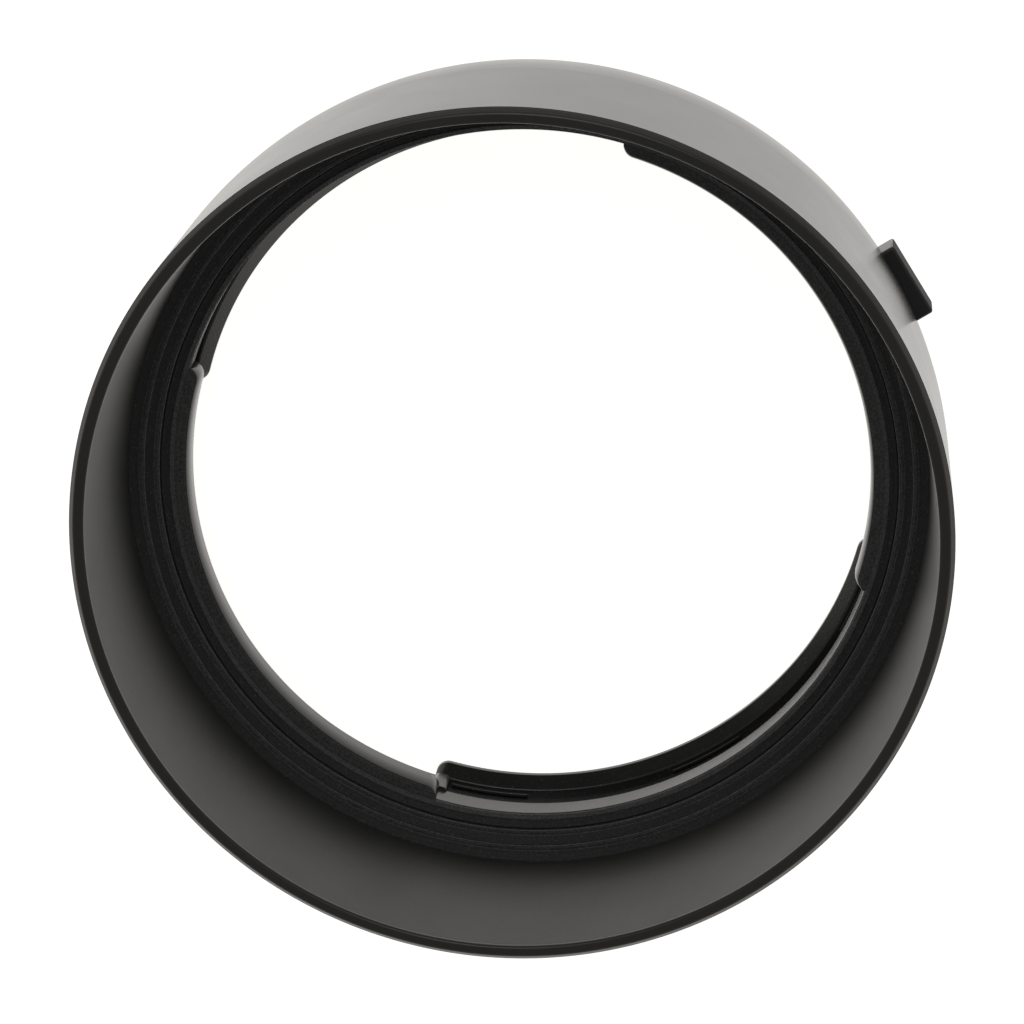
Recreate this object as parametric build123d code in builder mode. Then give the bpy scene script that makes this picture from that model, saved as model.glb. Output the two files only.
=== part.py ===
"""Bayonet lens hood with a sprung release button on a see-saw lock lever.

Frame: +Z runs along the optical axis from the mount towards the front opening, Z = 0 is the
rear face, and +X passes through the release button. All sizes are in millimetres.
"""
from build123d import *
from math import asin, atan2, cos, degrees, radians, sin, sqrt, tan
import os

# Bayonet: the collar that the lens tabs turn in, and the lips that hold them
groove_bore = 38.7            # radius that clears the lens tabs; the whole hood grows from it
throat_step = 0.7             # how far the collar in front of the groove stands in
lip_reach = 2.1               # how far the lips stand in from the groove
collar_wall = 0.8             # wall outside the tab groove
rear_lip_thickness = 2.2
tab_gap = 3.6                 # axial room for the lens tabs
front_lip_thickness = 3.2
front_lip_half_angle = 46.2   # each front lip spans this much either side of its middle
rear_lip_half_angle = 45.0
rear_lip_overlap = 4.0        # how far a rear lip runs on under the next front lip
rear_lip_edge = 0.7           # height of a rear lip's inner edge
rear_lip_taper = 1.0          # how far out from that edge the lip thickens
lip_corner = 1.3              # rounding of the lip ends
stop_angle = 2.6              # width of the turning stops
stop_inset = 1.0              # how far a stop stands back from the lips' edge
bar_count = 3                 # friction bars on each rear lip
bar_span = 12.6               # degrees
bar_pitch = 37.5              # degrees
bar_inset = 0.1               # from the groove wall
bar_thickness = 0.35
bar_height = 0.35

# Barrel
hood_depth = 34.0
mechanism_space = 3.7         # radial room between collar and barrel
rear_wall = 1.1               # barrel wall beside the mechanism
barrel_flare = 0.7            # how much wider the front rim is than the shoulder
rim_wall = 1.6
shoulder_radius = 2.8
rear_taper = 8.0              # degrees: the wall narrows towards the shoulder
wall_draft = 0.1              # how much narrower the straight wall is at its foot
knee_radius = 20.0            # between the taper and the straight wall
barrel_step = 0.45            # seat for the baffle ring inside the barrel

# Front ring
rim_ring_height = 0.6
rim_bevel = 0.55
rim_inner_chamfer = 0.3
tongue_depth = 1.2
tongue_wall = 0.5

# Baffle
baffle_rise = 2.5             # from the lips' front face to the barrel wall
ridge_height = 0.2
ridge_width = 0.56
ridge_pitch = 1.49
ridge_count = 3               # the innermost stands on the bayonet ring
ridge_inset = 0.1             # from the throat to the innermost ridge
baffle_skirt = 0.9
baffle_plate = 1.2

# Rear cover and its screws
cover_thickness = 1.4
cover_spigot_height = 0.6
cover_spigot_wall = 0.6
web_thickness = 1.0
web_depth = 1.2               # from the lips' front face down to the web
screw_count = 6
screw_first_angle = 45.0
screw_shank = 0.65            # radius
screw_length = 4.6
screw_head = 1.25             # radius
screw_head_height = 0.75
screw_head_sink = 0.85        # depth of the head's pocket
screw_head_clearance = 0.12
screw_head_edge = 0.3         # rounding of the head's rim
screw_tip_clearance = 0.2
boss_radius = 1.3
recess_length = 1.6
recess_width = 0.32
recess_depth = 0.35

# Release button, standing on the lever's paddle
button_length = 8.3           # around the barrel
button_width = 4.3            # along the axis
button_proud = 1.95           # above the barrel
button_tilt = 3.5             # degrees: the end away from the pivot stands out further at rest
button_edge = 0.35
button_middle_z = 4.75
button_cap = 1.0              # wall over the spring
slot_clearance = 0.1

# Return spring
spring_radius = 1.1           # middle of the wire
spring_wire = 0.36            # diameter
spring_turns = 7
spring_seat_depth = 0.3
spring_clearance = 0.3

# Lock lever: paddle, hub and tooth
lever_travel = 6.0            # degrees
pivot_angle = 12.5            # from the middle of the button, about the axis
pivot_share = 0.45            # how far out the pivot lies in the mechanism space
tooth_angle = 25.0
lever_thickness = 2.5
lever_wall = 0.9
lever_joggle = 0.4            # how far out the arm runs beside the paddle
paddle_floor = 0.5            # under the button
paddle_clearance = 0.6        # between the pressed paddle and the collar
paddle_margin_y = 1.15
paddle_margin_z = 0.4
hub_radius = 1.25
hub_clearance = 0.1
pin_radius = 0.6
pin_clearance = 0.06
pin_seat = 0.8                # how deep the pin sits at each end
pin_chamfer = 0.1
tooth_half_width = 1.1
tooth_reach = 0.8             # how far the tooth stands into the tab groove
window_margin = 0.45
window_margin_z = 0.3

# Clearances
fit = 0.05                    # between pieces that are assembled and stay put
barrel_fit = 0.08             # between the barrel and what turns or plugs inside it
root = 0.2                    # how deep an added feature is sunk into its own piece

# Heights
front_lip_z = rear_lip_thickness + tab_gap
collar_top_z = front_lip_z + front_lip_thickness
web_top_z = collar_top_z - web_depth
web_z = web_top_z - web_thickness
baffle_top_z = collar_top_z + baffle_rise
rim_ring_z = hood_depth - rim_ring_height
lever_z = rear_lip_thickness + (tab_gap - lever_thickness) / 2

# Radii, outwards from the bayonet
lip_bore = groove_bore - lip_reach
throat_bore = groove_bore - throat_step
collar_outer = groove_bore + collar_wall
mechanism_outer = collar_outer + mechanism_space
baffle_bore = collar_outer + fit
baffle_outer = mechanism_outer - fit
inner_rear = mechanism_outer - barrel_step
barrel_rear = mechanism_outer + rear_wall
hood_radius = barrel_rear + barrel_flare
inner_front = hood_radius - rim_wall
pivot_radius = collar_outer + mechanism_space * pivot_share
shoulder_middle = barrel_rear - shoulder_radius
tongue_middle = inner_front + rim_wall / 2

# Foot and top of the taper at the barrel's rear
taper_foot_r = shoulder_middle + shoulder_radius * cos(radians(rear_taper))
taper_foot_z = shoulder_radius - shoulder_radius * sin(radians(rear_taper))
knee_r = hood_radius - wall_draft
knee_z = taper_foot_z + (knee_r - taper_foot_r) / tan(radians(rear_taper))

# Lever and button
pivot_x = pivot_radius * cos(radians(pivot_angle))
pivot_y = pivot_radius * sin(radians(pivot_angle))
paddle_x = collar_outer + (pivot_y + button_length / 2) * sin(radians(lever_travel)) + paddle_clearance
button_foot_x = paddle_x + paddle_floor
button_height = barrel_rear + button_proud - button_foot_x
button_plane = Plane(
    origin=(button_foot_x, 0, button_middle_z),
    x_dir=(-sin(radians(button_tilt)), cos(radians(button_tilt)), 0),
    z_dir=(cos(radians(button_tilt)), sin(radians(button_tilt)), 0),
)
spring_hole = spring_radius + spring_wire / 2 + spring_clearance
spring_drop = (button_foot_x - collar_outer) / cos(radians(button_tilt)) + spring_seat_depth


def polar(radius, angle):
    """Point at a radius and an angle in degrees about the axis."""
    return (radius * cos(radians(angle)), radius * sin(radians(angle)))


def baffle_z(radius):
    """Height of the sloping baffle face at a radius."""
    return collar_top_z + baffle_rise * (radius - throat_bore) / (inner_rear - throat_bore)


def shoulder_point(height):
    """Point of the rounded rear shoulder at a height."""
    drop = shoulder_radius - height
    return (shoulder_middle + sqrt(shoulder_radius**2 - drop**2), height)


def sector_points(inner, outer, start, end):
    """Corner and mid-arc points of a ring sector."""
    middle = (start + end) / 2
    return (
        polar(inner, start),
        polar(inner, middle),
        polar(inner, end),
        polar(outer, end),
        polar(outer, middle),
        polar(outer, start),
    )


def sector_outline(inner, outer, start, end):
    """Draw a ring sector in the current sketch."""
    a, b, c, d, e, f = sector_points(inner, outer, start, end)
    with BuildLine() as sector:
        ThreePointArc(a, b, c)
        Line(c, d)
        ThreePointArc(d, e, f)
        Line(f, a)
    make_face(sector.edges())


# Barrel: straight wall, taper to the rounded rear shoulder, groove for the front ring and slot for the button
with BuildPart() as barrel_shell:
    with BuildSketch(Plane.XZ) as barrel_section:
        with BuildLine():
            arc_mid = shoulder_point((cover_thickness + taper_foot_z) / 2)
            outline = Polyline(
                (taper_foot_r, taper_foot_z),
                (knee_r, knee_z),
                (hood_radius, rim_ring_z),
                (tongue_middle + tongue_wall / 2 + fit, rim_ring_z),
                (tongue_middle + tongue_wall / 2 + fit, rim_ring_z - tongue_depth - fit),
                (tongue_middle - tongue_wall / 2 - fit, rim_ring_z - tongue_depth - fit),
                (tongue_middle - tongue_wall / 2 - fit, rim_ring_z),
                (inner_front, rim_ring_z),
                (inner_rear, baffle_top_z),
                (mechanism_outer, baffle_top_z),
                (mechanism_outer, cover_thickness),
                shoulder_point(cover_thickness),
            )
            ThreePointArc(outline @ 1, arc_mid, outline @ 0)
        make_face()
        knee = barrel_section.vertices().sort_by_distance((knee_r, knee_z))[0]
        fillet(knee, knee_radius)
    revolve(axis=Axis.Z)
    slot_lean = (barrel_rear - button_foot_x) * sin(radians(button_tilt))
    slot_swing = (barrel_rear - pivot_x) * sin(radians(lever_travel))
    slot_high = button_length / 2 + slot_lean + slot_clearance
    slot_low = -button_length / 2 + slot_lean - slot_swing - slot_clearance
    slot_width = button_width + 2 * slot_clearance
    with BuildSketch(Plane.YZ.offset(collar_outer)):
        with Locations(((slot_low + slot_high) / 2, button_middle_z)):
            RectangleRounded(slot_high - slot_low, slot_width, button_edge)
    extrude(amount=barrel_rear + 1 - collar_outer, mode=Mode.SUBTRACT)
barrel_shell.part.label = "barrel_shell"

# Front ring: bevelled cap with a tongue that presses into the barrel's groove
with BuildPart() as front_rim_ring:
    with BuildSketch(Plane.XZ):
        with BuildLine():
            Polyline(
                (hood_radius, rim_ring_z),
                (hood_radius - rim_bevel, hood_depth),
                (inner_front + rim_inner_chamfer, hood_depth),
                (inner_front, hood_depth - rim_inner_chamfer),
                (inner_front, rim_ring_z),
                (tongue_middle - tongue_wall / 2, rim_ring_z),
                (tongue_middle - tongue_wall / 2, rim_ring_z - tongue_depth),
                (tongue_middle + tongue_wall / 2, rim_ring_z - tongue_depth),
                (tongue_middle + tongue_wall / 2, rim_ring_z),
                close=True,
            )
        make_face()
    revolve(axis=Axis.Z)
front_rim_ring.part.label = "front_rim_ring"

# Baffle ring: sloping ridged face on two skirts
with BuildPart() as baffle_ring:
    with BuildSketch(Plane.XZ):
        with BuildLine():
            skirt_in = baffle_bore + baffle_skirt
            skirt_out = baffle_outer - baffle_skirt
            Polyline(
                (baffle_outer, web_top_z),
                (baffle_outer, baffle_top_z),
                (inner_rear, baffle_top_z),
                (baffle_bore, baffle_z(baffle_bore)),
                (baffle_bore, web_top_z),
                (skirt_in, web_top_z),
                (skirt_in, baffle_z(skirt_in) - baffle_plate),
                (skirt_out, baffle_z(skirt_out) - baffle_plate),
                (skirt_out, web_top_z),
                close=True,
            )
        make_face()
        for step in range(1, ridge_count):
            ridge_in = throat_bore + ridge_inset + step * ridge_pitch
            ridge_out = ridge_in + ridge_width
            with BuildLine():
                Polyline(
                    (ridge_in, baffle_z(ridge_in) - ridge_height),
                    (ridge_in, baffle_z(ridge_in) + ridge_height),
                    (ridge_out, baffle_z(ridge_out) + ridge_height),
                    (ridge_out, baffle_z(ridge_out) - ridge_height),
                    close=True,
                )
            make_face()
    revolve(axis=Axis.Z)
baffle_ring.part.label = "baffle_ring"

# Bayonet ring: collar, web, screw bosses, lips, stops, friction bars and the lever's window
screw_angles = [screw_first_angle + 360 / screw_count * k for k in range(screw_count)]
with BuildPart() as bayonet_ring:
    with BuildSketch(Plane.XZ):
        with BuildLine():
            land_in = throat_bore + ridge_inset
            land_out = land_in + ridge_width
            Polyline(
                (groove_bore, 0),
                (collar_outer, 0),
                (collar_outer, web_z),
                (baffle_outer, web_z),
                (baffle_outer, web_top_z),
                (collar_outer, web_top_z),
                (collar_outer, baffle_z(collar_outer)),
                (land_out, baffle_z(land_out)),
                (land_out, baffle_z(land_out) + ridge_height),
                (land_in, baffle_z(land_in) + ridge_height),
                (land_in, collar_top_z),
                (throat_bore, collar_top_z),
                (throat_bore, front_lip_z),
                (groove_bore, front_lip_z),
                close=True,
            )
        make_face()
    revolve(axis=Axis.Z)
    # Screw bosses down to the rear cover
    with BuildSketch(Plane.XY.offset(cover_thickness)):
        with PolarLocations(pivot_radius, screw_count, screw_first_angle):
            Circle(boss_radius)
    extrude(amount=web_z - cover_thickness)
    # Front lips, either side of the X axis
    with BuildSketch(Plane.XY.offset(front_lip_z)) as front_lips:
        for middle in (0, 180):
            sector_outline(
                lip_bore,
                throat_bore + root,
                middle - front_lip_half_angle,
                middle + front_lip_half_angle,
            )
        lip_corners = front_lips.vertices().filter_by(lambda v: sqrt(v.X**2 + v.Y**2) < lip_bore + 0.1)
        fillet(lip_corners, lip_corner)
    extrude(amount=front_lip_thickness)
    # Rear lips, either side of the Y axis
    with BuildSketch(Plane.XY) as rear_lips:
        for middle in (90, 270):
            sector_outline(
                lip_bore,
                groove_bore + root,
                middle - rear_lip_half_angle,
                middle + rear_lip_half_angle + rear_lip_overlap,
            )
        lip_corners = rear_lips.vertices().filter_by(lambda v: sqrt(v.X**2 + v.Y**2) < lip_bore + 0.1)
        fillet(lip_corners, lip_corner)
    extrude(amount=rear_lip_thickness)
    # Taper towards the rear lips' inner edges
    with BuildSketch(Plane.XZ):
        with BuildLine():
            taper_slope = (rear_lip_thickness - rear_lip_edge) / rear_lip_taper
            taper_top = rear_lip_thickness + taper_slope * root
            Polyline(
                (lip_bore - root, rear_lip_edge - taper_slope * root),
                (lip_bore + rear_lip_taper + root, taper_top),
                (lip_bore - root, taper_top),
                close=True,
            )
        make_face()
    revolve(axis=Axis.Z, mode=Mode.SUBTRACT)
    # Turning stops across the tab gap, where each rear lip begins
    with BuildSketch(Plane.XY.offset(rear_lip_thickness - fit)):
        for middle in (90, 270):
            start = middle - rear_lip_half_angle
            sector_outline(lip_bore + stop_inset, groove_bore + root, start, start + stop_angle)
    extrude(amount=tab_gap + 2 * fit)
    # Friction bars on the rear lips, beside the groove wall
    with BuildSketch(Plane.XY.offset(rear_lip_thickness - root)):
        for middle in (90, 270):
            for step in range(bar_count):
                bar_middle = middle + (step - (bar_count - 1) / 2) * bar_pitch + rear_lip_overlap / 2
                bar_outer = groove_bore - bar_inset
                bar_start = bar_middle - bar_span / 2
                bar_end = bar_middle + bar_span / 2
                sector_outline(bar_outer - bar_thickness, bar_outer, bar_start, bar_end)
    extrude(amount=bar_height + root)
    # Boss over the lever's hub
    with BuildSketch(Plane.XY.offset(lever_z + lever_thickness + hub_clearance)):
        with Locations((pivot_x, pivot_y)):
            Circle(hub_radius)
    extrude(until=Until.NEXT)
    # Window for the lock tooth
    window_half_angle = degrees(atan2(tooth_half_width + window_margin, groove_bore))
    with BuildSketch(Plane.XY.offset(lever_z - window_margin_z)):
        sector_outline(
            groove_bore - root,
            collar_outer + root,
            tooth_angle - window_half_angle,
            tooth_angle + window_half_angle,
        )
    extrude(amount=lever_thickness + 2 * window_margin_z, mode=Mode.SUBTRACT)
    # Cut-out in the web for the lever's paddle, and the return spring's seat
    paddle_high = button_length / 2 + paddle_margin_z
    paddle_low = -button_length / 2 - paddle_margin_y
    cut_high = paddle_high + 2 * window_margin
    cut_low = paddle_low - 2 * window_margin
    cut_x = collar_outer + fit
    with BuildSketch(Plane.XY.offset(web_z - root)):
        with Locations(((cut_x + mechanism_outer + 1) / 2, (cut_high + cut_low) / 2)):
            Rectangle(mechanism_outer + 1 - cut_x, cut_high - cut_low)
    extrude(amount=web_thickness + 2 * root, mode=Mode.SUBTRACT)
    with BuildSketch(button_plane.offset(-spring_drop)):
        Circle(spring_hole)
    extrude(amount=2 * spring_seat_depth, mode=Mode.SUBTRACT)
    # Holes for the screws and the pivot pin
    with BuildSketch(Plane.XY.offset(cover_thickness)):
        with PolarLocations(pivot_radius, screw_count, screw_first_angle):
            Circle(screw_shank)
    extrude(amount=screw_length - cover_thickness + screw_head_sink + screw_tip_clearance, mode=Mode.SUBTRACT)
    with BuildSketch(Plane.XY.offset(lever_z + lever_thickness)):
        with Locations((pivot_x, pivot_y)):
            Circle(pin_radius)
    extrude(amount=web_z + pin_seat - lever_z - lever_thickness, mode=Mode.SUBTRACT)
bayonet_ring.part.label = "bayonet_ring"

# Rear cover: closes the mechanism space and carries on the barrel's rounded shoulder
with BuildPart() as rear_cover:
    with BuildSketch(Plane.XZ):
        with BuildLine():
            cover_outline = Polyline(
                shoulder_point(cover_thickness),
                (mechanism_outer - barrel_fit, cover_thickness),
                (mechanism_outer - barrel_fit, cover_thickness + cover_spigot_height),
                (mechanism_outer - barrel_fit - cover_spigot_wall, cover_thickness + cover_spigot_height),
                (mechanism_outer - barrel_fit - cover_spigot_wall, cover_thickness),
                (collar_outer + fit, cover_thickness),
                (collar_outer + fit, 0),
                (shoulder_middle, 0),
            )
            ThreePointArc(cover_outline @ 1, shoulder_point(cover_thickness / 3), cover_outline @ 0)
        make_face()
    revolve(axis=Axis.Z)
    with BuildSketch(Plane.XY):
        with PolarLocations(pivot_radius, screw_count, screw_first_angle):
            Circle(screw_head + screw_head_clearance)
    extrude(amount=screw_head_sink, mode=Mode.SUBTRACT)
    with BuildSketch(Plane.XY):
        with PolarLocations(pivot_radius, screw_count, screw_first_angle):
            Circle(screw_shank + fit)
    extrude(amount=cover_thickness + 1, mode=Mode.SUBTRACT)
    with BuildSketch(Plane.XY.offset(cover_thickness)):
        with PolarLocations(pivot_radius, screw_count, screw_first_angle):
            Circle(boss_radius + fit)
    extrude(amount=cover_spigot_height, mode=Mode.SUBTRACT)
    with BuildSketch(Plane.XY.offset(cover_thickness - root)):
        with Locations((pivot_x, pivot_y)):
            Circle(hub_radius)
    extrude(amount=lever_z - hub_clearance - cover_thickness + root)
    with BuildSketch(Plane.XY.offset(cover_thickness - pin_seat)):
        with Locations((pivot_x, pivot_y)):
            Circle(pin_radius)
    extrude(amount=lever_z, mode=Mode.SUBTRACT)
rear_cover.part.label = "rear_cover"

# Cover screws: pan heads with a cross recess, one node of separate solids
with BuildPart() as cover_screws:
    head_z = screw_head_sink - screw_head_height
    with BuildSketch(Plane.XY.offset(head_z)):
        with PolarLocations(pivot_radius, screw_count, screw_first_angle):
            Circle(screw_head)
    extrude(amount=screw_head_height)
    head_rims = cover_screws.edges().filter_by(GeomType.CIRCLE).group_by(Axis.Z)[0]
    fillet(head_rims, screw_head_edge)
    with BuildSketch(Plane.XY.offset(screw_head_sink)):
        with PolarLocations(pivot_radius, screw_count, screw_first_angle):
            Circle(screw_shank)
    extrude(amount=screw_length)
    with BuildSketch(Plane.XY.offset(head_z)):
        with PolarLocations(pivot_radius, screw_count, screw_first_angle):
            Rectangle(recess_length, recess_width)
            Rectangle(recess_width, recess_length)
    extrude(amount=recess_depth, mode=Mode.SUBTRACT)
cover_screws.part.label = "cover_screws"

# Release button: bevelled block that stands in the lever's paddle and out through the slot
with BuildPart() as release_button:
    with BuildSketch(button_plane):
        RectangleRounded(button_length, button_width, button_edge)
    extrude(amount=button_height)
    chamfer(release_button.faces().sort_by(Axis.X)[-1].edges(), button_edge)
    with BuildSketch(button_plane):
        Circle(spring_hole)
    extrude(amount=button_height - button_cap, mode=Mode.SUBTRACT)
release_button.part.label = "release_button"

# Return spring: coil between the collar's seat and the inside of the button
coil_height = button_height - button_cap + spring_drop - spring_wire
with BuildPart() as return_spring:
    with BuildLine() as coil:
        Helix(
            pitch=coil_height / spring_turns,
            height=coil_height,
            radius=spring_radius,
            center=button_plane.origin - button_plane.z_dir * (spring_drop - spring_wire / 2),
            direction=button_plane.z_dir,
        )
    with BuildSketch(Plane(origin=coil.line @ 0, z_dir=coil.line % 0)):
        Circle(spring_wire / 2)
    sweep(is_frenet=True)
return_spring.part.label = "return_spring"

# Lock lever: paddle under the button, hub on the pin, and tooth through the collar
with BuildPart() as lock_lever:
    with BuildSketch(Plane.XY.offset(lever_z)):
        arm_inner = pivot_radius - lever_wall / 2
        arm_outer = pivot_radius + lever_wall / 2
        near_end = degrees(asin(button_length / 2 / arm_inner))
        sector_outline(arm_inner + lever_joggle, arm_outer + lever_joggle, near_end, pivot_angle)
        sector_outline(arm_inner, arm_outer, pivot_angle, tooth_angle)
        with Locations((pivot_x, pivot_y)):
            Circle(hub_radius)
        tooth_inner = groove_bore - tooth_reach
        with Locations(Location((0, 0, 0), (0, 0, tooth_angle))):
            with Locations(((tooth_inner + arm_outer) / 2, 0)):
                RectangleRounded(arm_outer - tooth_inner, 2 * tooth_half_width, root)
    extrude(amount=lever_thickness)
    with BuildSketch(Plane.XY.offset(button_middle_z - button_width / 2 - paddle_margin_z)):
        with BuildLine():
            stop_radius = mechanism_outer - barrel_fit
            high_corner = (sqrt(stop_radius**2 - paddle_high**2), paddle_high)
            low_corner = (sqrt(stop_radius**2 - paddle_low**2), paddle_low)
            Polyline(high_corner, (paddle_x, paddle_high), (paddle_x, paddle_low), low_corner)
            ThreePointArc(low_corner, (stop_radius, 0), high_corner)
        make_face()
    extrude(amount=button_width + 2 * paddle_margin_z)
    with BuildSketch(button_plane):
        RectangleRounded(button_length, button_width, button_edge)
    extrude(amount=button_height, mode=Mode.SUBTRACT)
    with BuildSketch(button_plane.offset(-2 * paddle_floor)):
        Circle(spring_hole)
    extrude(amount=3 * paddle_floor, mode=Mode.SUBTRACT)
    with BuildSketch(Plane.XY.offset(lever_z)):
        with Locations((pivot_x, pivot_y)):
            Circle(pin_radius + pin_clearance)
    extrude(amount=lever_thickness, mode=Mode.SUBTRACT)
lock_lever.part.label = "lock_lever"

# Pivot pin, held between the rear cover and the web
with BuildPart() as lever_pivot_pin:
    with BuildSketch(Plane.XY.offset(cover_thickness - pin_seat)):
        with Locations((pivot_x, pivot_y)):
            Circle(pin_radius)
    extrude(amount=web_z - cover_thickness + 2 * pin_seat)
    chamfer(lever_pivot_pin.edges().filter_by(GeomType.CIRCLE), pin_chamfer)
lever_pivot_pin.part.label = "lever_pivot_pin"

os.makedirs("parts", exist_ok=True)
pieces = (
    barrel_shell,
    front_rim_ring,
    baffle_ring,
    bayonet_ring,
    rear_cover,
    cover_screws,
    release_button,
    return_spring,
    lock_lever,
    lever_pivot_pin,
)
for piece in pieces:
    export_step(piece.part, f"parts/{piece.part.label}.step")
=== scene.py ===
import bmesh
import bpy
from math import cos, hypot, pi, radians, sin, sqrt, tan
from mathutils import Matrix, Vector


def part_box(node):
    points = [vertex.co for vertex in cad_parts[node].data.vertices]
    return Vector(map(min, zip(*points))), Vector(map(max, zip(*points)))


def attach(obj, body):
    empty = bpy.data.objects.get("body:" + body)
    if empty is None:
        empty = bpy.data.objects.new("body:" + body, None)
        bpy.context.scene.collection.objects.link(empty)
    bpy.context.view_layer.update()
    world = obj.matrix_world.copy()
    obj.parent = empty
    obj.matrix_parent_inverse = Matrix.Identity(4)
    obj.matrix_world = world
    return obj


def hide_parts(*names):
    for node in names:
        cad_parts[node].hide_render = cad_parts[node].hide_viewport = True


# Bayonet lens hood: turned plastic rings, moulded bayonet lips and a sprung rocker button.
# Sizes are in millimetres and every mesh is made in metres, with +Z towards the front opening.

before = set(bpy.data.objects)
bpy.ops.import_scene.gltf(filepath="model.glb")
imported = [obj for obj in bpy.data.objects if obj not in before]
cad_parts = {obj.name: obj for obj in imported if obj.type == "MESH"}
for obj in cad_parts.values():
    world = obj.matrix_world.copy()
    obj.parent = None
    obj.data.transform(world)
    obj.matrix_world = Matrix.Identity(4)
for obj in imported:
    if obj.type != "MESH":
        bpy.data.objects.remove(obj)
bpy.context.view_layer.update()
unit = 0.001


# general tools

def boxInMm(node):
    low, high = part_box(node)
    return low / unit, high / unit


def newObject(name, points, faces, edges=()):
    mesh = bpy.data.meshes.new(name)
    mesh.from_pydata([Vector(p) * unit for p in points], list(edges), faces)
    obj = bpy.data.objects.new(name, mesh)
    bpy.context.scene.collection.objects.link(obj)
    return obj


def bakeModifiers(obj):
    # turns the modifiers' result into a plain mesh
    bpy.context.view_layer.update()
    graph = bpy.context.evaluated_depsgraph_get()
    mesh = bpy.data.meshes.new_from_object(obj.evaluated_get(graph), preserve_all_data_layers=True,
                                           depsgraph=graph)
    obj.modifiers.clear()
    obj.data = mesh
    return obj


def faceOutwards(obj):
    shape = bmesh.new()
    shape.from_mesh(obj.data)
    bmesh.ops.remove_doubles(shape, verts=shape.verts, dist=0.0005 * unit)
    bmesh.ops.recalc_face_normals(shape, faces=shape.faces)
    shape.to_mesh(obj.data)
    shape.free()
    return obj


def combine(target, tool, operation):
    modifier = target.modifiers.new("combine", "BOOLEAN")
    modifier.operation = operation
    modifier.solver = "EXACT"
    modifier.object = tool
    bakeModifiers(target)
    bpy.data.objects.remove(tool)
    return target


def shadeOver(obj, sharpAngle=32):
    obj.data.polygons.foreach_set("use_smooth", [True] * len(obj.data.polygons))
    obj.data.set_sharp_from_angle(angle=radians(sharpAngle))
    weighted = obj.modifiers.new("weighted", "WEIGHTED_NORMAL")
    weighted.keep_sharp = True
    weighted.weight = 80
    return bakeModifiers(obj)


def settle(obj, body, slotName, *nodes):
    # last steps for a finished piece
    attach(obj, body)
    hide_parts(*nodes)
    print(obj.name, "done,", len(obj.data.polygons), "faces")


def polar(radius, angle, height):
    return Vector((radius * cos(radians(angle)), radius * sin(radians(angle)), height))


def roundedProfile(corners, arcSteps=4, support=0.05):
    # corners are (radius, height, rounding); long sides get a point close to each rounding
    points = []
    count = len(corners)
    for index, (radius, height, rounding) in enumerate(corners):
        here = Vector((radius, height))
        back = Vector(corners[index - 1][:2]) - here
        ahead = Vector(corners[(index + 1) % count][:2]) - here
        half = back.angle(ahead) / 2
        if rounding == 0:
            points.append(here)
            continue
        setback = rounding / tan(half)
        centre = here + (back.normalized() + ahead.normalized()).normalized() * rounding / sin(half)
        first = here + back.normalized() * setback - centre
        last = here + ahead.normalized() * setback - centre
        turn = first.angle(last)
        if support and back.length > 2 * (setback + support):
            points.append(centre + first + back.normalized() * support)
        for step in range(arcSteps + 1):
            share = step / arcSteps
            points.append(centre + (first * sin((1 - share) * turn) + last * sin(share * turn)) / sin(turn))
        if support and ahead.length > 2 * (setback + support):
            points.append(centre + last + ahead.normalized() * support)
    return points


def startTree(name, inputs):
    tree = bpy.data.node_groups.new(name, "GeometryNodeTree")
    tree.interface.new_socket("Geometry", in_out="INPUT", socket_type="NodeSocketGeometry")
    for label, kind in inputs:
        tree.interface.new_socket(label, in_out="INPUT", socket_type="NodeSocket" + kind)
    tree.interface.new_socket("Geometry", in_out="OUTPUT", socket_type="NodeSocketGeometry")
    return tree, tree.nodes.new("NodeGroupInput")


def addNode(tree, kind, inputs=None, **settings):
    node = tree.nodes.new(kind)
    for key, value in settings.items():
        setattr(node, key, value)
    for key, value in (inputs or {}).items():
        if isinstance(value, bpy.types.NodeSocket):
            tree.links.new(value, node.inputs[key])
        else:
            node.inputs[key].default_value = value
    return node


def mathNode(tree, operation, first, second=None):
    inputs = {0: first} if second is None else {0: first, 1: second}
    return addNode(tree, "ShaderNodeMath", inputs, operation=operation).outputs[0]


def endTree(tree, geometry, material):
    real = addNode(tree, "GeometryNodeRealizeInstances", {"Geometry": geometry})
    painted = addNode(tree, "GeometryNodeSetMaterial", {"Geometry": real.outputs[0], "Material": material})
    addNode(tree, "NodeGroupOutput", {"Geometry": painted.outputs[0]})


def runTree(obj, tree, values):
    modifier = obj.modifiers.new(tree.name, "NODES")
    modifier.node_group = tree
    for item in tree.interface.items_tree:
        if item.in_out == "INPUT" and item.name in values:
            modifier[item.identifier] = values[item.name]
    bakeModifiers(obj)
    return faceOutwards(obj)


# materials

ridge = {"count": 3, "firstInner": 38.1, "pitch": 1.49, "width": 0.56, "rise": 0.2, "sunk": 0.35,
         "rounding": 0.09, "lastGroove": 42.4}
moulding = {
    "cloudScale": 140.0,                  # size of the slow change in colour and gloss
    "grainTint": 0.3,                     # share of the grain in the colour, where a finish names none
    "glossChange": 0.02,
    "fleckColour": (0.16, 0.155, 0.15),
    "turnedScale": 6000.0,                # lines for each metre of radius
    # width of the painted highlight on each ridge edge
    "edgeHighlightWidth": 0.05,                     # share of a ridge's pitch
    # end of the painted shade in each groove, within one pitch
    "grooveEnd": 0.96,
}
drawn = {"cloudScale": 900.0, "glossChange": 0.08, "bump": 0.15, "bumpDepth": 0.02}


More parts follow.
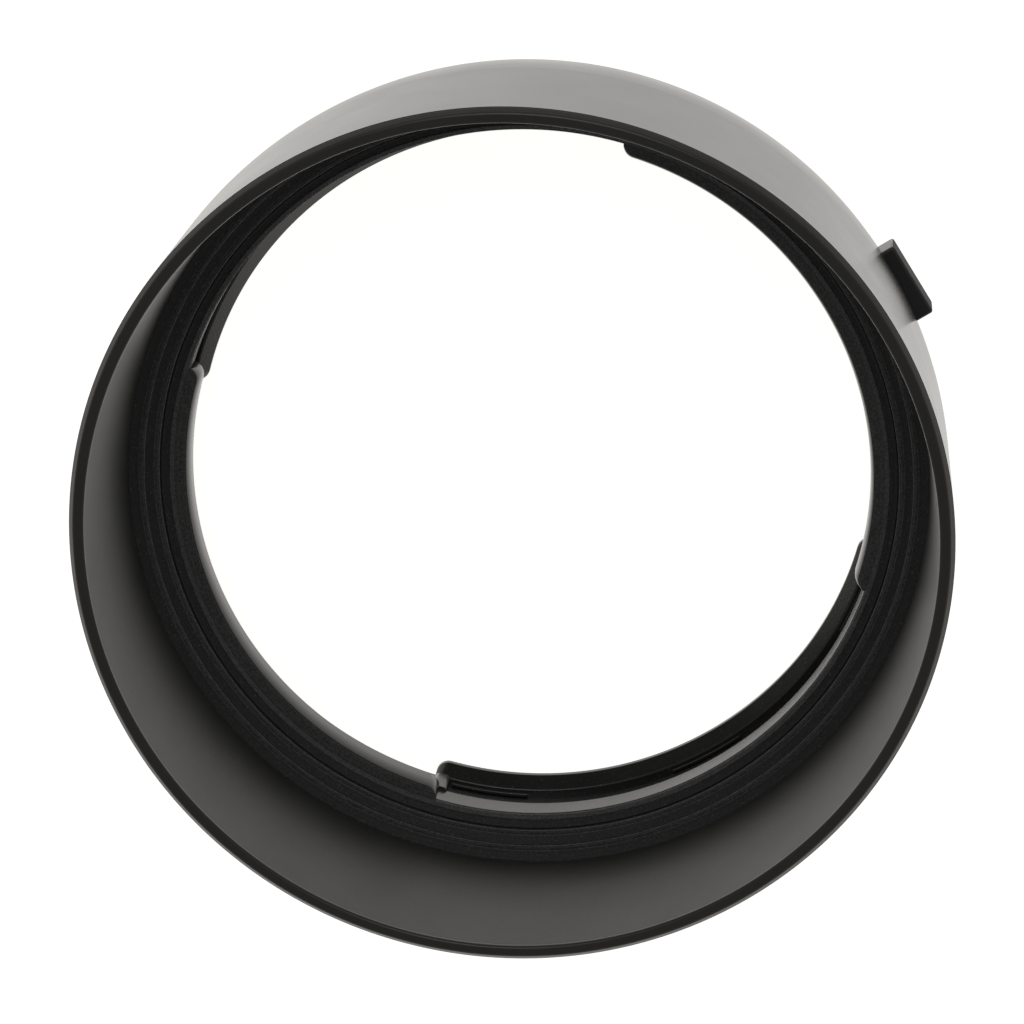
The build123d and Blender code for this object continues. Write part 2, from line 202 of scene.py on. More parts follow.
def plastic(name, look):
    # moulded plastic: slightly uneven colour and gloss, fine spark-eroded grain and turned lines
    material = bpy.data.materials.new(name)
    material.use_nodes = True
    tree = material.node_tree
    shader = tree.nodes["Principled BSDF"]
    place = addNode(tree, "ShaderNodeTexCoord").outputs["Object"]
    cloud = addNode(tree, "ShaderNodeTexNoise",
                    {"Vector": place, "Scale": moulding["cloudScale"], "Detail": 3.0})
    speck = addNode(tree, "ShaderNodeTexNoise", {"Vector": place, "Scale": look["speckScale"], "Detail": 2.0})
    grain = addNode(tree, "ShaderNodeTexNoise", {"Vector": place, "Scale": look["grainScale"], "Detail": 3.0})
    contrast = addNode(tree, "ShaderNodeMapRange",
                       {"Value": grain.outputs["Fac"], "From Min": 0.35, "From Max": 0.65})
    grainShare = look.get("grainTint", moulding["grainTint"])
    fine = mathNode(tree, "MULTIPLY", contrast.outputs[0], grainShare)
    broad = mathNode(tree, "MULTIPLY", cloud.outputs["Fac"], 1 - grainShare)
    tint = addNode(tree, "ShaderNodeMix", {0: mathNode(tree, "ADD", fine, broad)}, data_type="RGBA")
    tint.inputs[6].default_value = (*look["dark"], 1)
    tint.inputs[7].default_value = (*look["light"], 1)
    split = addNode(tree, "ShaderNodeSeparateXYZ", {0: place})
    across = mathNode(tree, "POWER", split.outputs["X"], 2.0)
    along = mathNode(tree, "POWER", split.outputs["Y"], 2.0)
    radius = mathNode(tree, "SQRT", mathNode(tree, "ADD", across, along))
    if look.get("ridged"):
        # painted highlights along the ridges' edges, duller tops and painted shade in the grooves between them
        low = (ridge["firstInner"] + ridge["width"] / 2) * unit
        high = ridge["lastGroove"] * unit
        inside = addNode(tree, "ShaderNodeClamp", {"Value": radius, "Min": low, "Max": high})
        start = mathNode(tree, "SUBTRACT", inside.outputs[0], ridge["firstInner"] * unit)
        steps = mathNode(tree, "FRACT", mathNode(tree, "DIVIDE", start, ridge["pitch"] * unit))
        tone = addNode(tree, "ShaderNodeValToRGB", {0: steps})
        stops = tone.color_ramp.elements
        ridgeShare = ridge["width"] / ridge["pitch"]
        edge = moulding["edgeHighlightWidth"]
        # tones of the painted edge highlight, the ridge tops and the painted groove shade
        edgeHighlight, top, grooveShade = look["ridged"]
        places = ((0.0, edgeHighlight), (edge, top), (ridgeShare - edge, top), (ridgeShare, edgeHighlight),
                  (ridgeShare + edge, grooveShade), (moulding["grooveEnd"], grooveShade))
        while len(stops) < len(places):
            stops.new(0.5)
        for stop, (position, level) in zip(stops, places):
            stop.position = position
            stop.color = (level, level, level, 1)
        shaded = addNode(tree, "ShaderNodeMix", {0: 1.0, 6: tint.outputs[2], 7: tone.outputs[0]},
                         data_type="RGBA")
        shaded.blend_type = "MULTIPLY"
        tint = shaded
    # pale specks where the grain catches the light
    fleck = addNode(tree, "ShaderNodeMapRange",
                    {"Value": speck.outputs["Fac"], "From Min": 0.62, "From Max": 0.76})
    fleck.inputs["To Max"].default_value = look["speckle"]
    mixed = addNode(tree, "ShaderNodeMix", {0: fleck.outputs[0], 6: tint.outputs[2]}, data_type="RGBA")
    mixed.inputs[7].default_value = (*moulding["fleckColour"], 1)
    tree.links.new(mixed.outputs[2], shader.inputs["Base Color"])
    gloss = addNode(tree, "ShaderNodeMapRange",
                    {"Value": cloud.outputs["Fac"], "From Min": 0.3, "From Max": 0.7})
    change = look.get("glossChange", moulding["glossChange"])
    gloss.inputs["To Min"].default_value = look["roughness"] - change
    gloss.inputs["To Max"].default_value = look["roughness"] + change
    tree.links.new(gloss.outputs[0], shader.inputs["Roughness"])
    height = grain.outputs["Fac"]
    if look.get("turned"):
        # rings from the lathe-turned mould, read from the distance to the axis
        count = mathNode(tree, "MULTIPLY", radius, moulding["turnedScale"])
        lines = addNode(tree, "ShaderNodeTexNoise", {"W": count, "Scale": 1.0}, noise_dimensions="1D")
        scaled = mathNode(tree, "MULTIPLY", lines.outputs["Fac"], look["turned"])
        height = mathNode(tree, "ADD", height, scaled)
    bump = addNode(tree, "ShaderNodeBump", {"Height": height})
    bump.inputs["Strength"].default_value = look["grain"]
    bump.inputs["Distance"].default_value = look["grainDepth"] * unit
    tree.links.new(bump.outputs[0], shader.inputs["Normal"])
    shader.inputs["IOR"].default_value = look["ior"]
    return material


def metal(name, look):
    # small steel parts: even colour with faint drawing marks
    material = bpy.data.materials.new(name)
    material.use_nodes = True
    tree = material.node_tree
    shader = tree.nodes["Principled BSDF"]
    place = addNode(tree, "ShaderNodeTexCoord").outputs["Object"]
    cloud = addNode(tree, "ShaderNodeTexNoise", {"Vector": place, "Scale": drawn["cloudScale"], "Detail": 4.0})
    tint = addNode(tree, "ShaderNodeMix", {0: cloud.outputs["Fac"]}, data_type="RGBA")
    tint.inputs[6].default_value = (*look["dark"], 1)
    tint.inputs[7].default_value = (*look["light"], 1)
    tree.links.new(tint.outputs[2], shader.inputs["Base Color"])
    gloss = addNode(tree, "ShaderNodeMapRange", {"Value": cloud.outputs["Fac"]})
    gloss.inputs["To Min"].default_value = look["roughness"] - drawn["glossChange"]
    gloss.inputs["To Max"].default_value = look["roughness"] + drawn["glossChange"]
    tree.links.new(gloss.outputs[0], shader.inputs["Roughness"])
    bump = addNode(tree, "ShaderNodeBump", {"Height": cloud.outputs["Fac"], "Strength": drawn["bump"]})
    bump.inputs["Distance"].default_value = drawn["bumpDepth"] * unit
    tree.links.new(bump.outputs[0], shader.inputs["Normal"])
    shader.inputs["Metallic"].default_value = 1.0
    return material


finishes = {
    "barrelSatin": {"dark": (0.018, 0.017, 0.016), "light": (0.026, 0.025, 0.023), "roughness": 0.22,
                    "ior": 1.35, "glossChange": 0.012, "grainScale": 5200.0, "grain": 0.2, "grainDepth": 0.02,
                    "speckScale": 4200.0, "speckle": 0.08},
    "innerMatt": {"dark": (0.014, 0.014, 0.013), "light": (0.028, 0.027, 0.026), "roughness": 0.40,
                  "ior": 1.42, "glossChange": 0.02, "grainScale": 4600.0, "grain": 0.5, "grainDepth": 0.04,
                  "speckScale": 3600.0, "speckle": 0.15, "grainTint": 0.5},
    "rimSatin": {"dark": (0.015, 0.014, 0.013), "light": (0.024, 0.022, 0.020), "roughness": 0.30, "ior": 1.5,
                 "grainScale": 5200.0, "grain": 0.25, "grainDepth": 0.02, "speckScale": 4200.0,
                 "speckle": 0.05},
    # baffle finish: its three ridge tones paint a highlight on the ridge edges, plain tops and shade in the
    # grooves
    "baffleMatt": {"dark": (0.060, 0.060, 0.060), "light": (0.165, 0.163, 0.160), "roughness": 0.46,
                   "ior": 1.38, "grainScale": 4600.0, "grain": 0.9, "grainDepth": 0.08, "speckScale": 3900.0,
                   "speckle": 0.45, "turned": 0.6, "grainTint": 0.8, "ridged": (1.0, 0.5, 0.14)},
    "bayonetSatin": {"dark": (0.013, 0.013, 0.013), "light": (0.020, 0.020, 0.019), "roughness": 0.22,
                     "ior": 1.46, "grainScale": 4800.0, "grain": 0.4, "grainDepth": 0.03, "speckScale": 3800.0,
                     "speckle": 0.2},
    "coverMatt": {"dark": (0.016, 0.016, 0.015), "light": (0.028, 0.027, 0.026), "roughness": 0.42, "ior": 1.5,
                  "grainScale": 4200.0, "grain": 0.4, "grainDepth": 0.04, "speckScale": 3200.0,
                  "speckle": 0.15, "grainTint": 0.5},
    "buttonSatin": {"dark": (0.011, 0.011, 0.012), "light": (0.018, 0.018, 0.019), "roughness": 0.30,
                    "ior": 1.5, "grainScale": 4600.0, "grain": 0.2, "grainDepth": 0.03, "speckScale": 3400.0,
                    "speckle": 0.06},
    "buttonGrip": {"dark": (0.012, 0.012, 0.012), "light": (0.020, 0.019, 0.019), "roughness": 0.7, "ior": 1.3,
                   "grainScale": 4600.0, "grain": 0.5, "grainDepth": 0.05, "speckScale": 3400.0,
                   "speckle": 0.06},
    "leverPlastic": {"dark": (0.020, 0.020, 0.020), "light": (0.028, 0.028, 0.027), "roughness": 0.42,
                     "ior": 1.5, "grainScale": 3800.0, "grain": 0.3, "grainDepth": 0.04, "speckScale": 3000.0,
                     "speckle": 0.08},
}
steels = {
    "screwSteel": {"dark": (0.10, 0.10, 0.11), "light": (0.16, 0.16, 0.17), "roughness": 0.34},
    "springSteel": {"dark": (0.52, 0.51, 0.49), "light": (0.66, 0.65, 0.62), "roughness": 0.26},
    "pinSteel": {"dark": (0.48, 0.47, 0.46), "light": (0.60, 0.59, 0.57), "roughness": 0.30},
}
materials = {name: plastic(name, look) for name, look in finishes.items()}
materials.update({name: metal(name, look) for name, look in steels.items()})
print("materials made")


# turned rings

def turnedRingTree():
    # sweeps a profile, drawn as edges in the XY plane, once around a circle
    tree, given = startTree("turnedRing", [("Path radius", "Float"), ("Segments", "Int"),
                                           ("Material", "Material")])
    inputs = {"Radius": given.outputs["Path radius"], "Resolution": given.outputs["Segments"]}
    circle = addNode(tree, "GeometryNodeCurvePrimitiveCircle", inputs)
    upright = addNode(tree, "GeometryNodeSetCurveNormal", {"Curve": circle.outputs[0]}, mode="Z_UP")
    profile = addNode(tree, "GeometryNodeMeshToCurve", {"Mesh": given.outputs["Geometry"]})
    inputs = {"Curve": upright.outputs[0], "Profile Curve": profile.outputs[0]}
    swept = addNode(tree, "GeometryNodeCurveToMesh", inputs)
    endTree(tree, swept.outputs[0], given.outputs["Material"])
    return tree


turning = {"tree": turnedRingTree(), "pathRadius": 40.0, "segments": 288}


def turnedRing(name, corners, material):
    points = roundedProfile(corners)
    flat = [(p.x - turning["pathRadius"], -p.y, 0) for p in points]
    edges = [(i, (i + 1) % len(flat)) for i in range(len(flat))]
    obj = newObject(name, flat, [], edges)
    values = {"Path radius": turning["pathRadius"] * unit, "Segments": turning["segments"],
              "Material": material}
    return runTree(obj, turning["tree"], values)


hood = {
    "throatRadius": 38.0,      # collar in front of the lens tabs
    "grooveRadius": 38.7,      # collar beside the lens tabs
    "lipRadius": 36.6,
    "collarOuter": 39.5,
    "mechanismOuter": 43.2,
    "barrelRear": 44.3,
    "frontRadius": boxInMm("front_rim_ring")[1].x,
    "frontInner": 43.4,
    "rearInner": 42.75,
    "depth": boxInMm("front_rim_ring")[1].z,
    "rimJoint": boxInMm("barrel_shell")[1].z,
    "coverTop": 1.4,
    "shoulder": 2.8,
    "collarTop": 9.0,
    "baffleTop": 11.5,
    "webTop": 7.8,
    "webBottom": 6.8,
    "frontLip": 5.8,
    "rearLip": 2.2,
}


slope = (hood["baffleTop"] - hood["collarTop"]) / (hood["rearInner"] - hood["throatRadius"])


def baffleHeight(radius):
    return hood["collarTop"] + slope * (radius - hood["throatRadius"])


def shoulderRadius(height):
    drop = hood["shoulder"] - height
    return hood["barrelRear"] - hood["shoulder"] + sqrt(hood["shoulder"] ** 2 - drop ** 2)


wall = {"taper": 8.0, "draft": 0.1, "kneeRadius": 60.0}  # it narrows from its knee down to the shoulder
taperFoot = hood["shoulder"] * (1 - sin(radians(wall["taper"])))
kneeOut = hood["frontRadius"] - wall["draft"]
kneeUp = taperFoot + (kneeOut - shoulderRadius(taperFoot)) / tan(radians(wall["taper"]))


def shoulderCorners(low, high, steps):
    heights = [low + (high - low) * i / steps for i in range(steps + 1)]
    return [(shoulderRadius(h), h, 0) for h in heights]


# button, placed before the barrel's slot

button = {"length": 8.3, "width": 4.3, "proud": 1.95, "tilt": 3.5, "corner": 0.3, "edge": 0.26, "middle": 4.75,
          "cap": 1.0, "springHole": 1.58}
buttonFoot = boxInMm("release_button")[0].x
buttonFoot += button["length"] / 2 * sin(radians(button["tilt"]))
button["height"] = hood["barrelRear"] + button["proud"] - buttonFoot
buttonOutwards = Vector((cos(radians(button["tilt"])), sin(radians(button["tilt"])), 0))
buttonAlong = Vector((-sin(radians(button["tilt"])), cos(radians(button["tilt"])), 0))


def roundedPrism(name, length, width, height, corner, edge, origin, along, outwards, arcSteps=4):
    # block with rounded upright edges, standing on its foot, with a rounding round its top
    across = outwards.cross(along)
    layers = [(0.0, 0.0), (0.0, (height - edge) * 0.5), (0.0, height - edge - 0.05)]
    for step in range(arcSteps + 1):
        turn = radians(90) * step / arcSteps
        layers.append((edge * (1 - cos(turn)), height - edge + edge * sin(turn)))
    layers.append((edge + 0.06, height))
    points = []
    faces = []
    for inset, rise in layers:
        for quarter, (sideX, sideY) in enumerate(((1, 1), (-1, 1), (-1, -1), (1, -1))):
            radius = max(corner - inset, 0.08)
            for step in range(arcSteps + 1):
                turn = radians(90) * (quarter + step / arcSteps)
                x = sideX * (length / 2 - inset - radius) + radius * cos(turn)
                y = sideY * (width / 2 - inset - radius) + radius * sin(turn)
                points.append(origin + along * x + across * y + outwards * rise)
    ring = 4 * (arcSteps + 1)
    for layer in range(len(layers) - 1):
        for i in range(ring):
            here, beside = layer * ring + i, layer * ring + (i + 1) % ring
            faces.append((here, beside, beside + ring, here + ring))
    faces.append(list(range(ring))[::-1])
    faces.append([len(points) - ring + i for i in range(ring)])
    return faceOutwards(newObject(name, points, faces))


def cylinder(name, centre, axis, radius, height, segments):
    shape = bmesh.new()
    bmesh.ops.create_cone(shape, cap_ends=True, segments=segments, radius1=radius * unit,
                          radius2=radius * unit, depth=height * unit)
    turn = Vector((0, 0, 1)).rotation_difference(axis).to_matrix().to_4x4()
    placed = Matrix.Translation((centre + axis * height / 2) * unit) @ turn
    bmesh.ops.transform(shape, matrix=placed, verts=shape.verts)
    mesh = bpy.data.meshes.new(name)
    shape.to_mesh(mesh)
    shape.free()
    obj = bpy.data.objects.new(name, mesh)
    bpy.context.scene.collection.objects.link(obj)
    return obj


overrun = 0.5  # how far a cutting tool starts outside the piece
buttonOrigin = Vector((buttonFoot, 0, button["middle"]))
buttonCap = roundedPrism("buttonCap", button["length"], button["width"], button["height"], button["corner"],
                         button["edge"], buttonOrigin, buttonAlong, buttonOutwards)
bore = cylinder("bore", buttonOrigin - buttonOutwards * overrun, buttonOutwards, button["springHole"],
                button["height"] - button["cap"] + overrun, 40)
combine(buttonCap, bore, "DIFFERENCE")
buttonCap.data.materials.clear()
buttonCap.data.materials.append(materials["buttonSatin"])
buttonCap.data.materials.append(materials["buttonGrip"])
for face in buttonCap.data.polygons:
    onTop = face.normal.dot(buttonOutwards) > 0.8 and face.center.x > hood["barrelRear"] * unit
    face.material_index = 1 if onTop else 0
shadeOver(buttonCap)
settle(buttonCap, "lever", "button", "release_button")


# barrel

barrel = {"edge": 0.06, "slotCorner": 0.4, "slotLow": -5.02, "slotHigh": 4.46, "slotWidth": 4.5,
          "slotDepth": 8.0, "slotEdge": 0.05, "grooveWidth": 0.6, "grooveDepth": 1.25}
grooveIn = (hood["frontInner"] + hood["frontRadius"]) / 2 - barrel["grooveWidth"] / 2
grooveOut = grooveIn + barrel["grooveWidth"]
barrelCorners = shoulderCorners(hood["coverTop"], taperFoot, 8) + [
    (kneeOut, kneeUp, wall["kneeRadius"]),
    (hood["frontRadius"], hood["rimJoint"], barrel["edge"]),
    (grooveOut, hood["rimJoint"], 0),
    (grooveOut, hood["rimJoint"] - barrel["grooveDepth"], 0),
    (grooveIn, hood["rimJoint"] - barrel["grooveDepth"], 0),
    (grooveIn, hood["rimJoint"], 0),
    (hood["frontInner"], hood["rimJoint"], barrel["edge"] / 2),
    (hood["rearInner"], hood["baffleTop"], 0),
    (hood["mechanismOuter"], hood["baffleTop"], 0),
    (hood["mechanismOuter"], hood["coverTop"], 0),
]
barrelWall = turnedRing("barrelWall", barrelCorners, materials["barrelSatin"])
slotMiddle = (barrel["slotLow"] + barrel["slotHigh"]) / 2
slotFoot = Vector((hood["collarOuter"], slotMiddle, button["middle"]))
slotTool = roundedPrism("slotTool", barrel["slotHigh"] - barrel["slotLow"], barrel["slotWidth"],
                        barrel["slotDepth"], barrel["slotCorner"], barrel["slotEdge"], slotFoot,
                        Vector((0, 1, 0)), Vector((1, 0, 0)))
combine(barrelWall, slotTool, "DIFFERENCE")
barrelWall.data.materials.append(materials["innerMatt"])
innerSlot = len(barrelWall.data.materials) - 1
for face in barrelWall.data.polygons:
    inwards = face.normal.x * face.center.x + face.normal.y * face.center.y < 0
    if inwards and hypot(face.center.x, face.center.y) < (hood["frontInner"] + 0.1) * unit:
        face.material_index = innerSlot
shadeOver(barrelWall)
settle(barrelWall, "hood", "barrel", "barrel_shell")


# front ring

rim = {"bevel": 0.55, "bevelEdge": 0.4, "outerEdge": 0.06, "innerEdge": 0.32, "lineEdge": 0.03,
       "tongueDepth": 1.2, "tongueFit": 0.05, "tongueEdge": 0.1}
tongueIn = grooveIn + rim["tongueFit"]
tongueOut = grooveOut - rim["tongueFit"]
rimCorners = [
    (hood["frontRadius"], hood["rimJoint"], rim["outerEdge"]),
    (hood["frontRadius"] - rim["bevel"], hood["depth"], rim["bevelEdge"]),
    (hood["frontInner"], hood["depth"], rim["innerEdge"]),
    (hood["frontInner"], hood["rimJoint"], rim["lineEdge"]),
    (tongueIn, hood["rimJoint"], 0),
    (tongueIn, hood["rimJoint"] - rim["tongueDepth"], rim["tongueEdge"]),
    (tongueOut, hood["rimJoint"] - rim["tongueDepth"], rim["tongueEdge"]),
    (tongueOut, hood["rimJoint"], 0),
]
frontRim = turnedRing("frontRim", rimCorners, materials["rimSatin"])
shadeOver(frontRim)
settle(frontRim, "hood", "rim", "front_rim_ring")


# baffle ring with its ridges

def ridgeTree():
    # concentric ridges that climb a cone, one ring for each step outwards
    tree, given = startTree("ridges", [
        ("Count", "Int"), ("First radius", "Float"), ("Pitch", "Float"), ("First height", "Float"),
        ("Slope", "Float"), ("Width", "Float"), ("Depth", "Float"), ("Rounding", "Float"), ("Segments", "Int"),
        ("Material", "Material")])
    sizes = given.outputs
    line = addNode(tree, "GeometryNodeMeshLine", {"Count": sizes["Count"], "Offset": (0, 0, 0)})
    index = addNode(tree, "GeometryNodeInputIndex").outputs[0]
    step = mathNode(tree, "MULTIPLY", index, sizes["Pitch"])
    radius = mathNode(tree, "ADD", sizes["First radius"], step)
    height = mathNode(tree, "ADD", sizes["First height"], mathNode(tree, "MULTIPLY", step, sizes["Slope"]))
    spot = addNode(tree, "ShaderNodeCombineXYZ", {"Z": height})
    placed = addNode(tree, "GeometryNodeSetPosition",
                     {"Geometry": line.outputs[0], "Position": spot.outputs[0]})
    circle = addNode(tree, "GeometryNodeCurvePrimitiveCircle",
                     {"Radius": 1.0, "Resolution": sizes["Segments"]})
    inputs = {"Points": placed.outputs[0], "Instance": circle.outputs[0], "Scale": radius}
    rings = addNode(tree, "GeometryNodeInstanceOnPoints", inputs)
    real = addNode(tree, "GeometryNodeRealizeInstances", {"Geometry": rings.outputs[0]})
    upright = addNode(tree, "GeometryNodeSetCurveNormal", {"Curve": real.outputs[0]}, mode="Z_UP")
    section = addNode(tree, "GeometryNodeCurvePrimitiveQuadrilateral",
                      {"Width": sizes["Width"], "Height": sizes["Depth"]})
    inputs = {"Curve": section.outputs[0], "Radius": sizes["Rounding"], "Count": 3}
    softened = addNode(tree, "GeometryNodeFilletCurve", inputs, mode="POLY")
    inputs = {"Curve": upright.outputs[0], "Profile Curve": softened.outputs[0]}
    swept = addNode(tree, "GeometryNodeCurveToMesh", inputs)
    endTree(tree, swept.outputs[0], sizes["Material"])
    return tree


baffle = {"bore": 39.55, "outer": 43.15, "skirt": 0.9, "plate": 1.2, "edge": 0.03, "footEdge": 0.05,
          "innerEdge": 0.1}


def ridgesFrom(name, firstStep, count, material):
    middle = ridge["firstInner"] + ridge["width"] / 2 + firstStep * ridge["pitch"]
    depth = ridge["rise"] + ridge["sunk"]
    obj = newObject(name, [(0, 0, 0)], [])
    values = {
        "Count": count, "First radius": middle * unit, "Pitch": ridge["pitch"] * unit,
        "First height": (baffleHeight(middle) + ridge["rise"] - depth / 2) * unit, "Slope": slope,
        "Width": ridge["width"] * unit, "Depth": depth * unit, "Rounding": ridge["rounding"] * unit,
        "Segments": turning["segments"], "Material": material}
    return runTree(obj, trees["ridges"], values)


trees = {"ridges": ridgeTree()}
skirtIn = baffle["bore"] + baffle["skirt"]
skirtOut = baffle["outer"] - baffle["skirt"]
baffleCorners = [
    (baffle["outer"], hood["webTop"], baffle["footEdge"]),
    (baffle["outer"], hood["baffleTop"], 0),
    (hood["rearInner"], hood["baffleTop"], 0),
    (baffle["bore"], baffleHeight(baffle["bore"]), baffle["edge"]),
    (baffle["bore"], hood["webTop"], baffle["footEdge"]),
    (skirtIn, hood["webTop"], baffle["footEdge"]),
    (skirtIn, baffleHeight(skirtIn) - baffle["plate"], baffle["innerEdge"]),
    (skirtOut, baffleHeight(skirtOut) - baffle["plate"], baffle["innerEdge"]),
    (skirtOut, hood["webTop"], baffle["footEdge"]),
]
baffleFace = turnedRing("baffleFace", baffleCorners, materials["baffleMatt"])
combine(baffleFace, ridgesFrom("ridges", 1, ridge["count"] - 1, materials["baffleMatt"]), "UNION")
shadeOver(baffleFace)
settle(baffleFace, "hood", "baffle", "baffle_ring")


# bayonet ring

bayonet = {
    "lipHalfAngle": 45.0,
    "frontLipHalfAngle": 46.2,
    "rearOverlap": 4.0,          # degrees that a rear lip runs on under the next front lip
    "lipCorner": 1.3,
    "lipEdge": 0.15,
    "frontCrown": (0.5, 2.0),    # width and height of the curve over a front lip's inner edge
    "rearTaper": (1.25, 1.45),   # width and height of the slope on a rear lip
    "sunk": 0.2,                 # overlap that joins lips and bosses to the collar
    "lapped": 0.05,              # the same for a front lip, behind the throat's own face
    "stopAngle": 2.6,
    "stopInset": 1.0,
    "stopCorner": 0.5,
    "stopEdge": 0.05,
    "throatEdge": 0.1,
    "throatTop": 0.08,
    "rearEdge": 0.12,
    "outerEdge": 0.06,
    "webEdge": 0.05,
    "webFillet": 0.1,
    "bossRadius": 1.3,
    "bossCount": 6,
    "firstBoss": 45.0,
    "bossCircle": 41.165,
    "bossSunk": 0.3,
}
toothWindow = {"angle": 25.0, "halfAngle": 2.2, "low": 2.45, "high": 5.55, "inside": 0.2, "outside": 0.3,
               "corner": 0.1, "edge": 0.02}
leverSlot = {"length": 11.9, "width": 3.0, "depth": 4.0, "corner": 0.3, "edge": 0.05, "foot": 39.55,
             "shift": -0.55, "middle": 7.3}
lipMesh = {"endSteps": 12, "step": 1.25, "arcSteps": 4, "lowEdge": 0.12, "taperEdge": 0.3}
bars = {"count": 3, "span": 12.6, "pitch": 37.5, "inset": 0.1, "thickness": 0.35, "height": 0.35,
        "rounding": 0.08}


def lipSector(name, start, end, inner, outer, low, high, corner, edge, taper=None, crown=None):
    # curved lip with rounded ends: one closed section for each angle, stepped closer near the ends
    degree = radians(1) * inner
    angles = []
    for i in range(lipMesh["endSteps"] + 1):
        angles.append(corner * (1 - cos(radians(90) * i / lipMesh["endSteps"])) / degree)
    plain = (end - start) - 2 * angles[-1]
    steps = max(2, round(plain / lipMesh["step"]))
    middle = [start + angles[-1] + plain * i / steps for i in range(1, steps)]
    angles = [start + a for a in angles] + middle + [end - a for a in angles[::-1]]
    points = []
    faces = []
    for angle in angles:
        along = min(angle - start, end - angle) * degree
        short = max(corner - along, 0.0)
        near = inner + corner - sqrt(max(corner ** 2 - short ** 2, 0.0))
        lowRoom = min(edge, lipMesh["lowEdge"])
        corners = [(outer, low, 0), (near, low, lowRoom)]
        if taper:
            wide = min(taper[0], (outer - near) * 0.8)
            corners.append((near, high - taper[1], lowRoom))
            corners.append((near + wide, high, min(lipMesh["taperEdge"], wide * 0.3)))
        elif crown:
            reach = min(crown[0], (outer - near) * 0.6)
            for step in range(2 * lipMesh["arcSteps"] + 1):
                turn = radians(45) * step / lipMesh["arcSteps"]
                corners.append((near + reach * (1 - cos(turn)), high - crown[1] * (1 - sin(turn)), 0))
        else:
            corners.append((near, high, min(edge, (outer - near) * 0.6)))
        corners.append((outer, high, 0))
        section = roundedProfile(corners, lipMesh["arcSteps"], 0)
        size = len(section)
        points += [polar(r, angle, z) for r, z in section]
    for ring in range(len(angles) - 1):
        for i in range(size):
            a, b = ring * size + i, ring * size + (i + 1) % size
            faces.append((a, b, b + size, a + size))
    faces.append(list(range(size)))
    faces.append([(len(angles) - 1) * size + i for i in range(size)][::-1])
    return faceOutwards(newObject(name, points, faces))


def barTree():
    # short raised bars along a circle, at an even pitch
    tree, given = startTree("frictionBars", [
        ("Count", "Int"), ("First angle", "Float"), ("Pitch angle", "Float"), ("Span", "Float"),
        ("Radius", "Float"), ("Middle height", "Float"), ("Thickness", "Float"), ("Depth", "Float"),
        ("Rounding", "Float"), ("Material", "Material")])
    sizes = given.outputs
    inputs = {"Resolution": 24, "Radius": sizes["Radius"], "Sweep Angle": sizes["Span"]}
    arc = addNode(tree, "GeometryNodeCurveArc", inputs, mode="RADIUS")
    upright = addNode(tree, "GeometryNodeSetCurveNormal", {"Curve": arc.outputs[0]}, mode="Z_UP")
    section = addNode(tree, "GeometryNodeCurvePrimitiveQuadrilateral",
                      {"Width": sizes["Thickness"], "Height": sizes["Depth"]})
    inputs = {"Curve": section.outputs[0], "Radius": sizes["Rounding"], "Count": 2}
    softened = addNode(tree, "GeometryNodeFilletCurve", inputs, mode="POLY")
    inputs = {"Curve": upright.outputs[0], "Profile Curve": softened.outputs[0], "Fill Caps": True}
    bar = addNode(tree, "GeometryNodeCurveToMesh", inputs)
    spot = addNode(tree, "ShaderNodeCombineXYZ", {"Z": sizes["Middle height"]})
    line = addNode(tree, "GeometryNodeMeshLine", {"Count": sizes["Count"], "Offset": (0, 0, 0)})
    placed = addNode(tree, "GeometryNodeSetPosition",
                     {"Geometry": line.outputs[0], "Position": spot.outputs[0]})
    index = addNode(tree, "GeometryNodeInputIndex").outputs[0]
    angle = mathNode(tree, "ADD", sizes["First angle"],
                     mathNode(tree, "MULTIPLY", index, sizes["Pitch angle"]))
    turn = addNode(tree, "ShaderNodeCombineXYZ", {"Z": angle})
    inputs = {"Points": placed.outputs[0], "Instance": bar.outputs[0], "Rotation": turn.outputs[0]}
    copies = addNode(tree, "GeometryNodeInstanceOnPoints", inputs)
    endTree(tree, copies.outputs[0], sizes["Material"])
    return tree


trees["bars"] = barTree()
landIn = ridge["firstInner"]
landOut = landIn + ridge["width"]
collarCorners = [
    (hood["grooveRadius"], 0, bayonet["rearEdge"]),
    (hood["collarOuter"], 0, bayonet["outerEdge"]),
    (hood["collarOuter"], hood["webBottom"], bayonet["webFillet"]),
    (baffle["outer"], hood["webBottom"], bayonet["webEdge"]),
    (baffle["outer"], hood["webTop"], bayonet["webEdge"]),
    (hood["collarOuter"], hood["webTop"], bayonet["webFillet"]),
    (hood["collarOuter"], baffleHeight(hood["collarOuter"]), bayonet["outerEdge"]),
    (landOut, baffleHeight(landOut), bayonet["webEdge"]),
    (landOut, baffleHeight(landOut) + ridge["rise"], ridge["rounding"]),
    (landIn, baffleHeight(landIn) + ridge["rise"], ridge["rounding"]),
    (landIn, hood["collarTop"], 0),
    (hood["throatRadius"], hood["collarTop"], bayonet["throatTop"]),
    (hood["throatRadius"], hood["frontLip"], bayonet["throatEdge"]),
    (hood["grooveRadius"], hood["frontLip"], bayonet["webEdge"]),
]
plasticHere = materials["bayonetSatin"]
bayonetCollar = turnedRing("bayonetCollar", collarCorners, plasticHere)
for middle in (0, 180):
    lip = lipSector("lip", middle - bayonet["frontLipHalfAngle"], middle + bayonet["frontLipHalfAngle"],
                    hood["lipRadius"], hood["throatRadius"] + bayonet["lapped"], hood["frontLip"],
                    hood["collarTop"], bayonet["lipCorner"], bayonet["lipEdge"], crown=bayonet["frontCrown"])
    combine(bayonetCollar, lip, "UNION")
